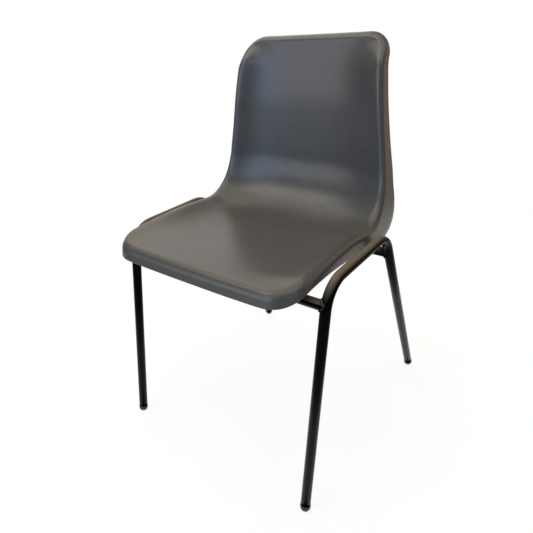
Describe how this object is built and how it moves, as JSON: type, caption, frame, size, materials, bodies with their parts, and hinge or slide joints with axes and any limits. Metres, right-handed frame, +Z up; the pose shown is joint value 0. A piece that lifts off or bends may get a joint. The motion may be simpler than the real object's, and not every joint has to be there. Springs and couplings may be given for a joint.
{
  "type": "stacking chair",
  "caption": "Armless stacking choir chair: a moulded plastic seat-and-back shell with rolled rims on a bent round steel tube frame.",
  "frame": {"origin": "on the floor, under the middle of the chair's width and depth", "axes": "+Z up, +X to the sitter's left as the sitter faces -Y, -Y the way the sitter faces, +Y towards the back; left and right in the names are as seen from the front"},
  "size_m": [0.4856, 0.547, 0.8079],
  "materials": {
    "shell_plastic": "satin",
    "frame_paint": "gloss",
    "foot_plastic": "satin",
    "screw_zinc": "satin"
  },
  "bodies": {
    "root": {"shell": "shell_plastic", "left_side_loop": "frame_paint", "right_side_loop": "frame_paint", "front_cross_tube": "frame_paint", "rear_cross_tube": "frame_paint", "front_left_foot": "foot_plastic", "front_right_foot": "foot_plastic", "rear_left_foot": "foot_plastic", "rear_right_foot": "foot_plastic", "fixing_screws": "screw_zinc", "saddle_washers": "foot_plastic"}
  },
  "joints": []
}
